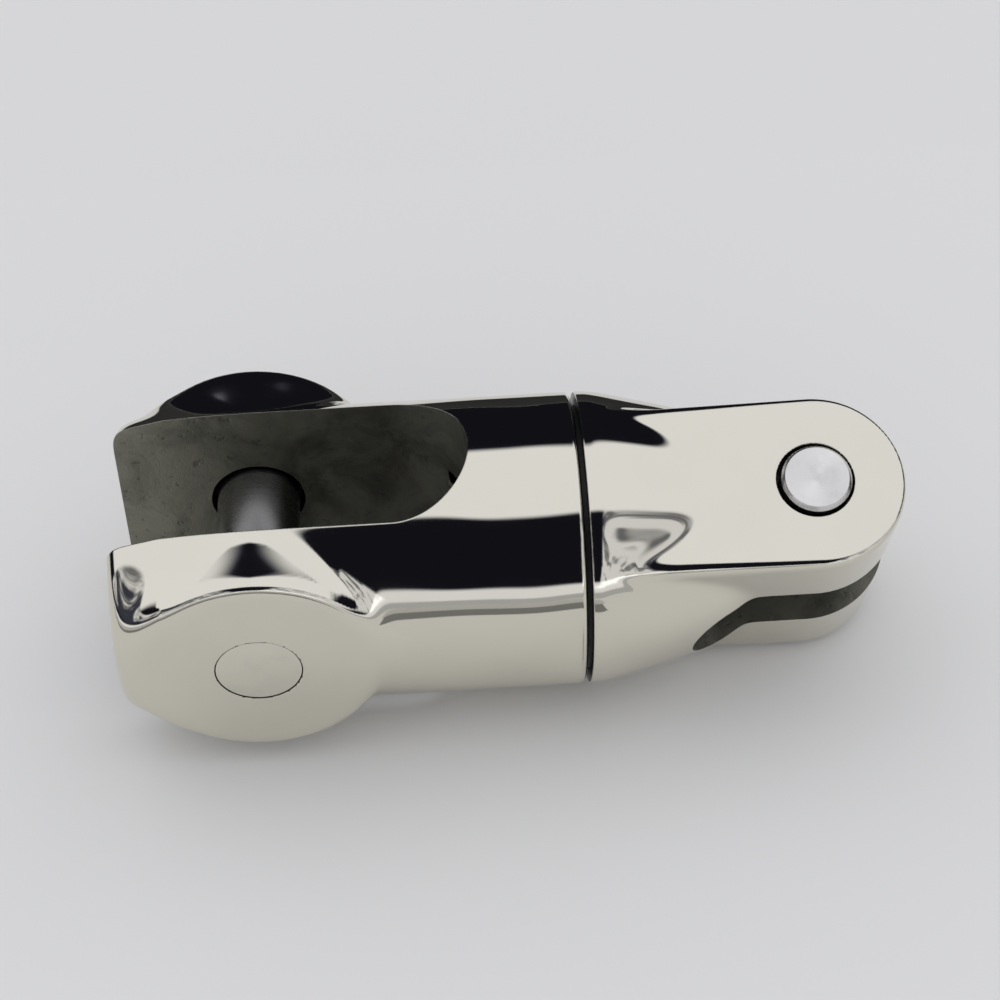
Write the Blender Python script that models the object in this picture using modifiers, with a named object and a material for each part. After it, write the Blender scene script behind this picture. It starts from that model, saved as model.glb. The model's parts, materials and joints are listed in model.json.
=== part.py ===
"""Jaw-to-jaw anchor swivel in polished stainless steel.

An anchor fork and a chain fork turn against each other on a headed stud.
Each fork is closed by a screw pin.  The swivel axis is parallel to X, the
chain side is at +X, the anchor pin is parallel to Y and +Z is up.  The origin
is the centre of the bounding box, at its bottom.
"""

import math

import bmesh
import bpy
from mathutils import Matrix, Vector

MM = 0.001
FIT_GAP = 0.3 * MM              # play between two pieces that touch or seat
RUN_GAP = 0.3 * MM              # play between a shaft and what it turns in
SEGMENTS = 64                   # sides of the large round shapes
SMALL_SEGMENTS = 32             # sides of pins, bores and washers
ARC_STEPS = 5                   # straight runs in a rounded corner
OVERRUN = 4.0 * MM              # how far a cutter runs past the face it cuts
CUTTER_ROLL = math.radians(1.3)  # keeps a cutter's corners off the corners it cuts

# ---- swivel barrel, shared by both forks ----
BARREL_RADIUS = 24.0 * MM
JOINT_GAP = 0.8 * MM            # visible line between the two forks
RIM_RADIUS = 0.8 * MM           # rounding of the two rims at that line
RIM_WALL = 2.5 * MM             # from the thrust washer out to the barrel's surface

# ---- anchor fork ----
ANCHOR_TIP_ROUND = 3.0 * MM
ANCHOR_SLOT_WIDTH = 25.6 * MM
ANCHOR_WALL = 17.7 * MM         # joint line to the bottom of the slot
ANCHOR_PIN_REACH = 52.5 * MM    # joint line to the anchor pin's axis
ANCHOR_EYE_STEP = 4.0 * MM      # the boss's radius is this much less than the barrel's
ANCHOR_EYE_RADIUS = BARREL_RADIUS - ANCHOR_EYE_STEP
ANCHOR_TIP_MARGIN = 2.5 * MM    # from the boss out to the tip
ANCHOR_LENGTH = ANCHOR_PIN_REACH + ANCHOR_EYE_RADIUS + ANCHOR_TIP_MARGIN  # joint line to tip
ANCHOR_EYE_PROUD = 0.2 * MM     # each flat face stands this far out of the barrel
ANCHOR_EYE_WIDTH = 2 * (BARREL_RADIUS + ANCHOR_EYE_PROUD)
ANCHOR_PIN_RADIUS = 6.85 * MM
ANCHOR_THREAD_RADIUS = 7.5 * MM
ANCHOR_THREAD_LENGTH = 8.0 * MM
ANCHOR_HEX_FLATS = 8.0 * MM     # key size of the pin's socket
ANCHOR_PIN_CHAMFER = 0.3 * MM
ANCHOR_PIN_FLUSH = 0.1 * MM     # how far the pin's two ends sit below the faces

# ---- chain fork ----
CHAIN_TURN = math.radians(69.3)     # from -Y up to the chain pin's plain end
CHAIN_PIN_REACH = 36.9 * MM
CHAIN_WIDTH = 29.0 * MM
CHAIN_THICKNESS = 38.0 * MM
CHAIN_SLOT_WIDTH = 12.4 * MM
CHAIN_WALL = 17.0 * MM          # joint line to the bottom of the slot
CHAIN_EDGE_ROUND = 1.2 * MM     # rounding of the cheeks' long edges
CHAIN_CONE_START = 1.6 * MM     # joint line to where the root starts to narrow
CHAIN_CONE_END = 19.0 * MM
CHAIN_CONE_RADIUS = CHAIN_THICKNESS / 2 + 0.3 * MM  # radius of the root at that end
CHAIN_ROOT_END = 25.5 * MM      # where the root is gone between the cheeks
CHAIN_PIN_RADIUS = 5.7 * MM
CHAIN_THREAD_RADIUS = 6.9 * MM
CHAIN_THREAD_LENGTH = 9.0 * MM
CHAIN_HEX_FLATS = 6.0 * MM
CHAIN_PIN_CHAMFER = 0.45 * MM
CHAIN_PIN_PROUD = 0.9 * MM      # plain end stands this far out of the cheek
CHAIN_HEAD_FLUSH = 0.3 * MM

# ---- stud and bearing ----
STUD_RADIUS = 6.0 * MM
STUD_HEAD_RADIUS = STUD_RADIUS + 2.5 * MM
STUD_HEAD_LENGTH = 5.0 * MM
STUD_HEX_FLATS = 8.0 * MM
STUD_CHAMFER = 0.6 * MM
STUD_FLOOR = 2.5 * MM           # steel left between stud bore and chain slot
HEAD_DEPTH = 0.8 * MM           # head sits this far below the slot's bottom
HEAD_WASHER_THICKNESS = 1.5 * MM
BUSH_WALL = 1.0 * MM
THRUST_RADIUS = BARREL_RADIUS - RIM_WALL
THRUST_THICKNESS = 3.0 * MM
LOCK_PIN_RADIUS = 1.5 * MM
LOCK_PIN_REACH = 7.5 * MM       # joint line to the cross pin's axis
LOCK_PIN_FLUSH = 0.5 * MM       # its outer end sits this far below the root
LOCK_PIN_BLIND = 11.0 * MM      # its hole stops this far past the swivel axis

# ---- grub screws that hold the pins ----
GRUB_RADIUS = 2.2 * MM
GRUB_FLATS = 2.0 * MM
GRUB_SOCKET_DEPTH = 1.8 * MM
GRUB_SINK = 0.8 * MM            # outer end sits this far below the surface
SOCKET_SHARE = 0.6              # depth of a pin's key socket, of its key size

# ---- places worked out from the sizes above ----
CHAIN_LENGTH = CHAIN_PIN_REACH + CHAIN_WIDTH / 2
JOINT_X = (ANCHOR_LENGTH - CHAIN_LENGTH) / 2
AXIS_Z = BARREL_RADIUS
ALONG_X = Vector((1, 0, 0))
ALONG_Y = Vector((0, 1, 0))
ALONG_Z = Vector((0, 0, 1))
CHEEK_NORMAL = Vector((0, -math.cos(CHAIN_TURN), math.sin(CHAIN_TURN)))
CHEEK_SIDE = Vector((0, math.sin(CHAIN_TURN), math.cos(CHAIN_TURN)))

POLISHED = ("polished_steel", (0.82, 0.81, 0.78, 1), 0.06, 1.0)
TURNED = ("turned_steel", (0.72, 0.71, 0.69, 1), 0.25, 1.0)
BRONZE = ("bronze", (0.60, 0.42, 0.20, 1), 0.35, 1.0)
ACETAL = ("black_acetal", (0.015, 0.015, 0.016, 1), 0.45, 0.0)


def clear_scene():
    for old in list(bpy.data.objects):
        bpy.data.objects.remove(old, do_unlink=True)


def new_collection(name):
    collection = bpy.data.collections.new(name)
    bpy.context.scene.collection.children.link(collection)
    return collection


def material(spec):
    name, colour, roughness, metallic = spec
    found = bpy.data.materials.get(name)
    if found:
        return found
    made = bpy.data.materials.new(name)
    made.use_nodes = True
    shader = made.node_tree.nodes["Principled BSDF"]
    shader.inputs["Base Color"].default_value = colour
    shader.inputs["Roughness"].default_value = roughness
    shader.inputs["Metallic"].default_value = metallic
    return made


def at(x, y=0.0, z=0.0):
    """A point measured from the middle of the joint line."""
    return Vector((JOINT_X + x, y, AXIS_Z + z))


def turn_to(direction, side=None):
    """Rotation that takes local Z to a direction, and local X to a side."""
    z_axis = direction.normalized()
    guess = side or (ALONG_Z if abs(z_axis.z) < 0.9 else ALONG_X)
    y_axis = z_axis.cross(guess).normalized()
    x_axis = y_axis.cross(z_axis)
    return Matrix((x_axis, y_axis, z_axis)).transposed().to_4x4()


def place(obj, origin, direction, side=None):
    """Set location and rotation so that local Z runs along a direction."""
    obj.matrix_world = Matrix.Translation(origin) @ turn_to(direction, side)
    return obj


def finish_mesh(name, mesh, collection, spec):
    obj = bpy.data.objects.new(name, mesh)
    collection.objects.link(obj)
    if spec:
        obj.data.materials.append(material(spec))
    return obj


def turned(name, profile, collection, spec=None, steps=SMALL_SEGMENTS):
    """Solid of revolution about local Z from (radius, height), top to bottom."""
    mesh = bpy.data.meshes.new(name)
    shape = bmesh.new()
    verts = [shape.verts.new((radius, 0, height)) for radius, height in profile]
    for first, second in zip(verts, verts[1:]):
        shape.edges.new((first, second))
    if profile[0][0] > 0:
        shape.edges.new((verts[-1], verts[0]))
    shape.to_mesh(mesh)
    shape.free()
    obj = finish_mesh(name, mesh, collection, spec)
    screw = obj.modifiers.new("turn", "SCREW")
    screw.axis = "Z"
    screw.steps = steps
    screw.render_steps = steps
    screw.use_merge_vertices = True
    screw.merge_threshold = 0.000001
    return obj


def corner(centre_radius, centre_height, size, start, end):
    """Points of a rounded corner in a profile, from start to end degrees."""
    points = []
    for step in range(ARC_STEPS + 1):
        angle = math.radians(start + (end - start) * step / ARC_STEPS)
        points.append((centre_radius + size * math.cos(angle),
                       centre_height + size * math.sin(angle)))
    return points


def prism(name, outline, depth, collection, spec=None):
    """Closed outline in local XY, as deep as given, centred on local Z = 0."""
    mesh = bpy.data.meshes.new(name)
    shape = bmesh.new()
    face = shape.faces.new([shape.verts.new((x, y, -depth / 2)) for x, y in outline])
    raised = bmesh.ops.extrude_face_region(shape, geom=[face])
    moved = [v for v in raised["geom"] if isinstance(v, bmesh.types.BMVert)]
    bmesh.ops.translate(shape, verts=moved, vec=(0, 0, depth))
    bmesh.ops.recalc_face_normals(shape, faces=shape.faces)
    shape.to_mesh(mesh)
    shape.free()
    return finish_mesh(name, mesh, collection, spec)


def as_cutter(obj):
    obj.hide_render = True
    obj.display_type = "WIRE"
    return obj


def combine(obj, cutter, operation="DIFFERENCE"):
    boolean = obj.modifiers.new(cutter.name, "BOOLEAN")
    boolean.operation = operation
    boolean.solver = "EXACT"
    boolean.object = cutter
    return obj


def hole(name, radius, start, end, cutters, steps=SMALL_SEGMENTS):
    """Round cutter between two points."""
    length = (end - start).length
    profile = [(0, length), (radius, length), (radius, 0), (0, 0)]
    cutter = turned(name, profile, cutters, steps=steps)
    place(cutter, start, end - start)
    cutter.matrix_world = cutter.matrix_world @ Matrix.Rotation(CUTTER_ROLL, 4, "Z")
    return as_cutter(cutter)


def socket(name, flats, mouth, inward, depth, cutters):
    """Hexagonal key socket whose mouth is at a point."""
    across = flats / math.sqrt(3)
    outline = [(across * math.cos(math.pi * k / 3), across * math.sin(math.pi * k / 3))
               for k in range(6)]
    cutter = prism(name, outline, depth + OVERRUN, cutters)
    middle = mouth + inward * (depth - OVERRUN) / 2
    return as_cutter(place(cutter, middle, inward))


def slot_outline(bottom, width, mouth):
    """Outline of a slot from its mouth to a full round bottom, along local X."""
    half = width / 2
    towards = 1 if mouth > bottom else -1
    centre = bottom + towards * half
    points = [(mouth, -half), (mouth, half)]
    steps = SMALL_SEGMENTS // 2
    for step in range(steps + 1):
        angle = math.pi / 2 + math.pi * step / steps
        points.append((centre + towards * half * math.cos(angle), half * math.sin(angle)))
    return points


def set_smooth(obj):
    if obj.type == "MESH" and obj.data.polygons:
        obj.data.shade_smooth()
        obj.data.set_sharp_from_angle(angle=math.radians(30))


# ---- anchor fork and what is fixed in it ----

HEAD_SEAT = -(ANCHOR_WALL - HEAD_DEPTH - STUD_HEAD_LENGTH - 2 * FIT_GAP - HEAD_WASHER_THICKNESS)
THRUST_SEAT = THRUST_THICKNESS / 2 + FIT_GAP
BUSH_INNER = STUD_RADIUS + RUN_GAP
BUSH_OUTER = BUSH_INNER + BUSH_WALL
HEAD_BORE = STUD_HEAD_RADIUS + RUN_GAP
STUD_END = CHAIN_WALL - STUD_FLOOR


def anchor_fork(parts, cutters):
    """Barrel with a round boss across it, cut by the jaw, pin holes and stud bore."""
    rim, tip = RIM_RADIUS, ANCHOR_TIP_ROUND
    face = -JOINT_GAP / 2
    recess, bore = THRUST_RADIUS + FIT_GAP, BUSH_OUTER + FIT_GAP
    profile = [(recess, face)]
    profile += corner(BARREL_RADIUS - rim, face - rim, rim, 90, 0)
    profile += corner(BARREL_RADIUS - tip, tip - ANCHOR_LENGTH, tip, 0, -90)
    profile += [(HEAD_BORE, -ANCHOR_LENGTH), (HEAD_BORE, HEAD_SEAT), (bore, HEAD_SEAT),
                (bore, -THRUST_SEAT), (recess, -THRUST_SEAT)]
    fork = place(turned("anchor_fork", profile, parts, POLISHED, SEGMENTS), at(0), ALONG_X)

    pin_x = -ANCHOR_PIN_REACH
    boss = hole("anchor_boss", ANCHOR_EYE_RADIUS, at(pin_x, -ANCHOR_EYE_WIDTH / 2),
                at(pin_x, ANCHOR_EYE_WIDTH / 2), cutters, SEGMENTS)
    combine(fork, boss, "UNION")

    outline = slot_outline(-ANCHOR_WALL, ANCHOR_SLOT_WIDTH, -ANCHOR_LENGTH - OVERRUN)
    slot = prism("anchor_slot", outline, 2 * (BARREL_RADIUS + OVERRUN), cutters)
    combine(fork, as_cutter(place(slot, at(0), ALONG_Z, ALONG_X)))

    near = ANCHOR_PIN_RADIUS + FIT_GAP
    far = ANCHOR_THREAD_RADIUS + FIT_GAP
    outside = ANCHOR_EYE_WIDTH / 2 + OVERRUN
    combine(fork, hole("anchor_pin_hole", near, at(pin_x, -outside), at(pin_x), cutters))
    combine(fork, hole("anchor_thread_hole", far, at(pin_x), at(pin_x, outside), cutters))

    ear_middle = (ANCHOR_SLOT_WIDTH + ANCHOR_EYE_WIDTH) / 4
    combine(fork, hole("anchor_grub_hole", GRUB_RADIUS + FIT_GAP, at(pin_x, ear_middle),
                       at(pin_x, ear_middle, -outside), cutters))
    return fork


def ring(name, inner, outer, start, length, parts, spec, steps=SMALL_SEGMENTS):
    """Plain ring about the swivel axis."""
    profile = [(outer, length), (outer, 0), (inner, 0), (inner, length)]
    return place(turned(name, profile, parts, spec, steps), at(start), ALONG_X)


def bearing(parts):
    """Thrust washers and bush that the stud turns in."""
    ring("joint_thrust_washer", STUD_RADIUS + RUN_GAP, THRUST_RADIUS, -THRUST_THICKNESS / 2,
         THRUST_THICKNESS, parts, ACETAL, SEGMENTS)
    ring("stud_head_washer", BUSH_INNER, STUD_HEAD_RADIUS,
         HEAD_SEAT - FIT_GAP - HEAD_WASHER_THICKNESS, HEAD_WASHER_THICKNESS, parts, BRONZE)
    bush_start = HEAD_SEAT
    bush_end = -THRUST_SEAT
    ring("stud_bush", BUSH_INNER, BUSH_OUTER, bush_start, bush_end - bush_start, parts, BRONZE)


def swivel_stud(parts, cutters):
    """Headed stud that screws into the chain fork and turns with it."""
    under_head = HEAD_SEAT - 2 * FIT_GAP - HEAD_WASHER_THICKNESS
    top = under_head - STUD_HEAD_LENGTH
    end = STUD_END - FIT_GAP
    cut = STUD_CHAMFER
    profile = [(0, end), (STUD_RADIUS - cut, end), (STUD_RADIUS, end - cut),
               (STUD_RADIUS, under_head), (STUD_HEAD_RADIUS, under_head),
               (STUD_HEAD_RADIUS, top + cut), (STUD_HEAD_RADIUS - cut, top), (0, top)]
    stud = place(turned("swivel_stud", profile, parts, TURNED), at(0), ALONG_X)
    combine(stud, socket("stud_socket", STUD_HEX_FLATS, at(top), ALONG_X,
                         STUD_HEAD_LENGTH * SOCKET_SHARE, cutters))
    combine(stud, lock_pin_hole("stud_cross_hole", cutters))
    return stud


# ---- chain fork and what is fixed in it ----

def cheek(x, normal=0.0, side=0.0):
    """A point in the chain fork: along the axis, across the cheeks, to their side."""
    return at(x) + CHEEK_NORMAL * normal + CHEEK_SIDE * side


def root_radius(x):
    """Outer radius of the chain fork's root at a distance from the joint line."""
    if x <= CHAIN_CONE_START:
        return BARREL_RADIUS
    share = (x - CHAIN_CONE_START) / (CHAIN_CONE_END - CHAIN_CONE_START)
    return BARREL_RADIUS + share * (CHAIN_CONE_RADIUS - BARREL_RADIUS)


def lock_pin_hole(name, cutters):
    return hole(name, LOCK_PIN_RADIUS + FIT_GAP, cheek(LOCK_PIN_REACH, 0, -LOCK_PIN_BLIND),
                cheek(LOCK_PIN_REACH, 0, BARREL_RADIUS + OVERRUN), cutters, SMALL_SEGMENTS // 2)


def chain_body_outline():
    """Cheek seen along the chain pin: straight sides and a full round end."""
    half = CHAIN_WIDTH / 2
    start = JOINT_GAP / 2 + RIM_RADIUS
    points = [(start, -half)]
    for step in range(SMALL_SEGMENTS + 1):
        angle = math.pi * (step / SMALL_SEGMENTS - 0.5)
        points.append((CHAIN_PIN_REACH + half * math.cos(angle), half * math.sin(angle)))
    return points + [(start, half)]


def chain_fork(parts, cutters):
    """Turned root that narrows into two flat cheeks with round ends."""
    rim = RIM_RADIUS
    face = JOINT_GAP / 2
    shoulder = CHAIN_ROOT_END - CHAIN_CONE_END
    neck = CHAIN_CONE_RADIUS - CHAIN_WIDTH / 2
    profile = [(0, CHAIN_ROOT_END)]
    for step in range(ARC_STEPS + 1):
        angle = math.pi / 2 * (1 - step / ARC_STEPS)
        profile.append((CHAIN_WIDTH / 2 + neck * math.cos(angle),
                        CHAIN_CONE_END + shoulder * math.sin(angle)))
    profile.append((BARREL_RADIUS, CHAIN_CONE_START))
    profile += corner(BARREL_RADIUS - rim, face + rim, rim, 0, -90)
    profile.append((0, face))
    fork = place(turned("chain_fork", profile, parts, POLISHED, SEGMENTS), at(0), ALONG_X)

    slab = prism("chain_cheeks", chain_body_outline(), CHAIN_THICKNESS, cutters)
    edges = slab.modifiers.new("round_edges", "BEVEL")
    edges.width = CHAIN_EDGE_ROUND
    edges.segments = 3
    edges.limit_method = "ANGLE"
    edges.angle_limit = math.radians(40)
    as_cutter(place(slab, at(0), CHEEK_NORMAL, ALONG_X))
    combine(fork, slab, "UNION")

    wide = 2 * (BARREL_RADIUS + OVERRUN)
    outline = slot_outline(CHAIN_WALL, CHAIN_SLOT_WIDTH, CHAIN_LENGTH + OVERRUN)
    slot = prism("chain_slot", outline, wide, cutters)
    combine(fork, as_cutter(place(slot, at(0), CHEEK_SIDE, ALONG_X)))

    outside = CHAIN_THICKNESS / 2 + OVERRUN
    reach = CHAIN_PIN_REACH
    combine(fork, hole("chain_pin_hole", CHAIN_PIN_RADIUS + FIT_GAP, cheek(reach),
                       cheek(reach, outside), cutters))
    combine(fork, hole("chain_thread_hole", CHAIN_THREAD_RADIUS + FIT_GAP,
                       cheek(reach, -outside), cheek(reach), cutters))
    level = -(CHAIN_SLOT_WIDTH + CHAIN_THICKNESS) / 4
    combine(fork, hole("chain_grub_hole", GRUB_RADIUS + FIT_GAP, cheek(reach, level),
                       cheek(reach, level, CHAIN_WIDTH), cutters))

    combine(fork, hole("stud_thread_hole", STUD_RADIUS + FIT_GAP, at(-OVERRUN), at(STUD_END),
                       cutters))
    combine(fork, hole("chain_thrust_recess", THRUST_RADIUS + FIT_GAP, at(-OVERRUN),
                       at(THRUST_SEAT), cutters, SEGMENTS))
    combine(fork, lock_pin_hole("fork_cross_hole", cutters))
    return fork


def stud_lock_pin(parts):
    """Cross pin that keeps the stud from unscrewing."""
    start = cheek(LOCK_PIN_REACH, 0, FIT_GAP - LOCK_PIN_BLIND)
    length = LOCK_PIN_BLIND - FIT_GAP + root_radius(LOCK_PIN_REACH) - LOCK_PIN_FLUSH
    radius, cut = LOCK_PIN_RADIUS, LOCK_PIN_FLUSH
    profile = [(0, length), (radius - cut, length), (radius, length - cut),
               (radius, cut), (radius - cut, 0), (0, 0)]
    pin = turned("stud_lock_pin", profile, parts, TURNED, SMALL_SEGMENTS // 2)
    return place(pin, start, CHEEK_SIDE)


# ---- pins and grub screws ----

def screw_pin(name, sizes, tip, direction, parts, cutters):
    """Pin with a plain chamfered tip and a larger threaded head with a key socket."""
    radius, thread_radius, length, thread_length, chamfer, flats = sizes
    shoulder = length - thread_length
    cut = chamfer
    profile = [(0, length), (thread_radius - STUD_CHAMFER, length),
               (thread_radius, length - STUD_CHAMFER), (thread_radius, shoulder + STUD_CHAMFER),
               (radius, shoulder - (thread_radius - radius - STUD_CHAMFER)),
               (radius, cut), (radius - cut, 0), (0, 0)]
    pin = place(turned(name, profile, parts, TURNED), tip, direction)
    head = tip + direction * length
    return combine(pin, socket(name + "_socket", flats, head, -direction,
                               flats * SOCKET_SHARE, cutters))


def anchor_pin(parts, cutters):
    start = at(-ANCHOR_PIN_REACH, ANCHOR_PIN_FLUSH - ANCHOR_EYE_WIDTH / 2)
    sizes = (ANCHOR_PIN_RADIUS, ANCHOR_THREAD_RADIUS, ANCHOR_EYE_WIDTH - 2 * ANCHOR_PIN_FLUSH,
             ANCHOR_THREAD_LENGTH, ANCHOR_PIN_CHAMFER, ANCHOR_HEX_FLATS)
    return screw_pin("anchor_pin", sizes, start, ALONG_Y, parts, cutters)


def chain_pin(parts, cutters):
    start = cheek(CHAIN_PIN_REACH, CHAIN_THICKNESS / 2 + CHAIN_PIN_PROUD)
    length = CHAIN_THICKNESS + CHAIN_PIN_PROUD - CHAIN_HEAD_FLUSH
    sizes = (CHAIN_PIN_RADIUS, CHAIN_THREAD_RADIUS, length, CHAIN_THREAD_LENGTH,
             CHAIN_PIN_CHAMFER, CHAIN_HEX_FLATS)
    return screw_pin("chain_pin", sizes, start, -CHEEK_NORMAL, parts, cutters)


def grub_screw(name, inner, outer, parts, cutters):
    """Socket screw between two points, flat at the inner end."""
    length = (outer - inner).length
    cut = GRUB_SINK / 2
    profile = [(0, length), (GRUB_RADIUS, length), (GRUB_RADIUS, cut),
               (GRUB_RADIUS - cut, 0), (0, 0)]
    screw = place(turned(name, profile, parts, TURNED, SMALL_SEGMENTS // 2), inner, outer - inner)
    inward = (inner - outer).normalized()
    return combine(screw, socket(name + "_socket", GRUB_FLATS, outer, inward,
                                 GRUB_SOCKET_DEPTH, cutters))


def grub_screws(parts, cutters):
    pin_x = -ANCHOR_PIN_REACH
    ear_middle = (ANCHOR_SLOT_WIDTH + ANCHOR_EYE_WIDTH) / 4
    grub_screw("anchor_pin_set_screw", at(pin_x, ear_middle, -ANCHOR_THREAD_RADIUS - FIT_GAP),
               at(pin_x, ear_middle, GRUB_SINK - ANCHOR_EYE_RADIUS), parts, cutters)
    level = -(CHAIN_SLOT_WIDTH + CHAIN_THICKNESS) / 4
    grub_screw("chain_pin_set_screw", cheek(CHAIN_PIN_REACH, level, CHAIN_THREAD_RADIUS + FIT_GAP),
               cheek(CHAIN_PIN_REACH, level, CHAIN_WIDTH / 2 - GRUB_SINK), parts, cutters)


def main():
    clear_scene()
    parts = new_collection("anchor_swivel")
    cutters = new_collection("cutters")
    anchor_fork(parts, cutters)
    chain_fork(parts, cutters)
    bearing(parts)
    swivel_stud(parts, cutters)
    stud_lock_pin(parts)
    anchor_pin(parts, cutters)
    chain_pin(parts, cutters)
    grub_screws(parts, cutters)
    for obj in parts.objects:
        set_smooth(obj)


main()
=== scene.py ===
"""Finished model of a polished jaw-to-jaw anchor swivel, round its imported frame."""

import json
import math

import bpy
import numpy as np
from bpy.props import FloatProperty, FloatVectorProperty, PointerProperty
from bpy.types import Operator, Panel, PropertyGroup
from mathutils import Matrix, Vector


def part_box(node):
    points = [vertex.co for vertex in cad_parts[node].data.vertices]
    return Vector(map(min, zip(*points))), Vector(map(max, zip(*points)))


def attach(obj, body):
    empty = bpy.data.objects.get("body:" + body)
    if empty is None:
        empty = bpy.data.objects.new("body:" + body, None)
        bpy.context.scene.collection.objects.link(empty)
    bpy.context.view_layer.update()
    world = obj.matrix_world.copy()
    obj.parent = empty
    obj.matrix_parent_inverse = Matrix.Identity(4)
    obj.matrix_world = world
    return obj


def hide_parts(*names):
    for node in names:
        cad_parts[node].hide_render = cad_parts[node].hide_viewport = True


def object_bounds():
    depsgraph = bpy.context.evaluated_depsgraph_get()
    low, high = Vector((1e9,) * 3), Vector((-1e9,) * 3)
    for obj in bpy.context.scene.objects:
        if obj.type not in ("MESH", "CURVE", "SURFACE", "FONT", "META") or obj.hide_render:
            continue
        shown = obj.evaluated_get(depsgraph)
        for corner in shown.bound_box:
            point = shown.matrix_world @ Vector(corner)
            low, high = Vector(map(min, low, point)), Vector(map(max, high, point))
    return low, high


bl_info = {
    "name": "Anchor Swivel",
    "version": (1, 0, 0),
    "blender": (4, 5, 0),
    "location": "View3D > Sidebar > Swivel",
    "description": "Builds a polished anchor swivel with two forks, two pins and a stud",
    "category": "Add Mesh",
}

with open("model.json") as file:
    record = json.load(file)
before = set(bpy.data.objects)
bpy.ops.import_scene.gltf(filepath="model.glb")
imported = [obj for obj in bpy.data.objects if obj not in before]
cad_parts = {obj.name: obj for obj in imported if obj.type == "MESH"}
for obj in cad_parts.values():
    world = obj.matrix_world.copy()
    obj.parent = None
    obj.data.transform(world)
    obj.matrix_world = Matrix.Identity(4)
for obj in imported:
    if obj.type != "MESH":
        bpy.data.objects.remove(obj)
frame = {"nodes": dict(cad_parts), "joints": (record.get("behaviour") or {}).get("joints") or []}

CAD_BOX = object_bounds()
JOINTS = {joint["name"]: joint for joint in frame["joints"]}
JOINT = Vector(JOINTS["swivel"]["pos_m"])
CHEEK_NORMAL = -Vector(JOINTS["chain_pin_slide"]["axis"]).normalized()
CHEEK_SIDE = CHEEK_NORMAL.cross(Vector((1, 0, 0)))
ALONG_X = Vector((1, 0, 0))
ALONG_Y = Vector((0, 1, 0))
ALONG_Z = Vector((0, 0, 1))
MM = 0.001

HOLE_OVERRUN = 3.0 * MM         # how far a cutter runs past the face it cuts
ROUND_STEPS = 128               # sides of the round pieces and cutters
RIM_STEPS = 6                   # rows of points round a rim
ON_CUT = 0.02 * MM              # slack when a face is matched to the cut that made it
PAST_JAW_WALL = 0.05 * MM       # a hole's own faces start this far past the jaw's wall
JOINT_FACE_DEPTH = 0.41 * MM    # the forks' end faces lie this close to the joint line
ANCHOR_RIM_TIMES = 4            # the anchor fork's rim is this much rounder

ANCHOR_KEY = 8.0 * MM           # across the flats of the pins', stud's and screws' sockets
CHAIN_KEY = 6.0 * MM
STUD_KEY = 8.0 * MM
GRUB_KEY = 2.0 * MM
KEY_DEPTH = 0.6                 # depth of a socket, as a share of its flats or of the head
GRUB_PLAY = 0.3 * MM            # between a set screw and its hole
GRUB_PITCH = 0.8 * MM
LOCK_HOLE_RADIUS = 1.8 * MM
LOCK_HOLE_DEPTH = 11 * MM       # past the axis, on the side away from its mouth


def middle(node):
    low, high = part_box(node)
    return (low + high) / 2


def size(node):
    low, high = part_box(node)
    return high - low


BARREL_RADIUS = size("anchor_fork").z / 2
ANCHOR_TIP = JOINT.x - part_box("anchor_fork")[0].x
ANCHOR_REACH = JOINT.x - middle("anchor_pin").x
CHAIN_REACH = middle("chain_pin").x - JOINT.x
CHAIN_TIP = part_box("chain_fork")[1].x - JOINT.x
RIM_X = JOINT.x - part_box("anchor_fork")[1].x


# ---------------------------------------------------------------- settings

def length(label, words, default):
    """A length that a user can change, in metres."""
    return FloatProperty(name=label, description=words, default=default, unit="LENGTH",
                         precision=5, min=0.0)


def share(label, words, default):
    return FloatProperty(name=label, description=words, default=default, min=0.0, max=1.0)


def colour(label, words, default):
    return FloatVectorProperty(name=label, description=words, default=default, size=3,
                               subtype="COLOR", min=0.0, max=1.0)


def angle(label, words, degrees):
    return FloatProperty(name=label, description=words, default=math.radians(degrees),
                         subtype="ANGLE")


class AnchorForkSizes(PropertyGroup):
    eye_radius: length("Eye radius", "Radius of the boss round the anchor pin", 19.7 * MM)
    face_width: length("Face width", "Across the two flat ear faces", size("anchor_fork").y)
    slot_width: length("Jaw width", "Gap between the two ears", 25.6 * MM)
    wall: length("Wall", "From the joint line to the bottom of the jaw", 17.7 * MM)
    blend: length("Blend", "Reach of the hollow blend between boss and barrel", 4.5 * MM)
    tip_round: length("Tip round", "Rounding of the ears' tips", 5.0 * MM)
    tip_droop: length("Tip droop", "How far the barrel flattens at the tip", 3.2 * MM)
    droop_start: length("Droop start", "Joint line to where it starts to narrow", 50.0 * MM)
    face_round: length("Face round", "Rounding round the flat ear faces", 3.4 * MM)
    hole_radius: length("Pin hole", "Radius of the close hole in the front ear", 6.95 * MM)
    thread_radius: length("Thread hole", "Radius of the threaded hole in the back ear", 7.8 * MM)
    stud_bore: length("Stud bore", "Radius of the bore for the stud's bush", 7.6 * MM)
    head_recess: length("Head recess", "Radius of the recess for the stud's head", 8.8 * MM)
    head_seat: length("Head seat", "From the joint line to the recess's floor", 9.8 * MM)
    thrust_radius: length("Washer recess", "Radius of the thrust washer's recess", 21.8 * MM)
    thrust_depth: length("Washer depth", "Joint line to the washer recess's floor", 1.8 * MM)


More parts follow.
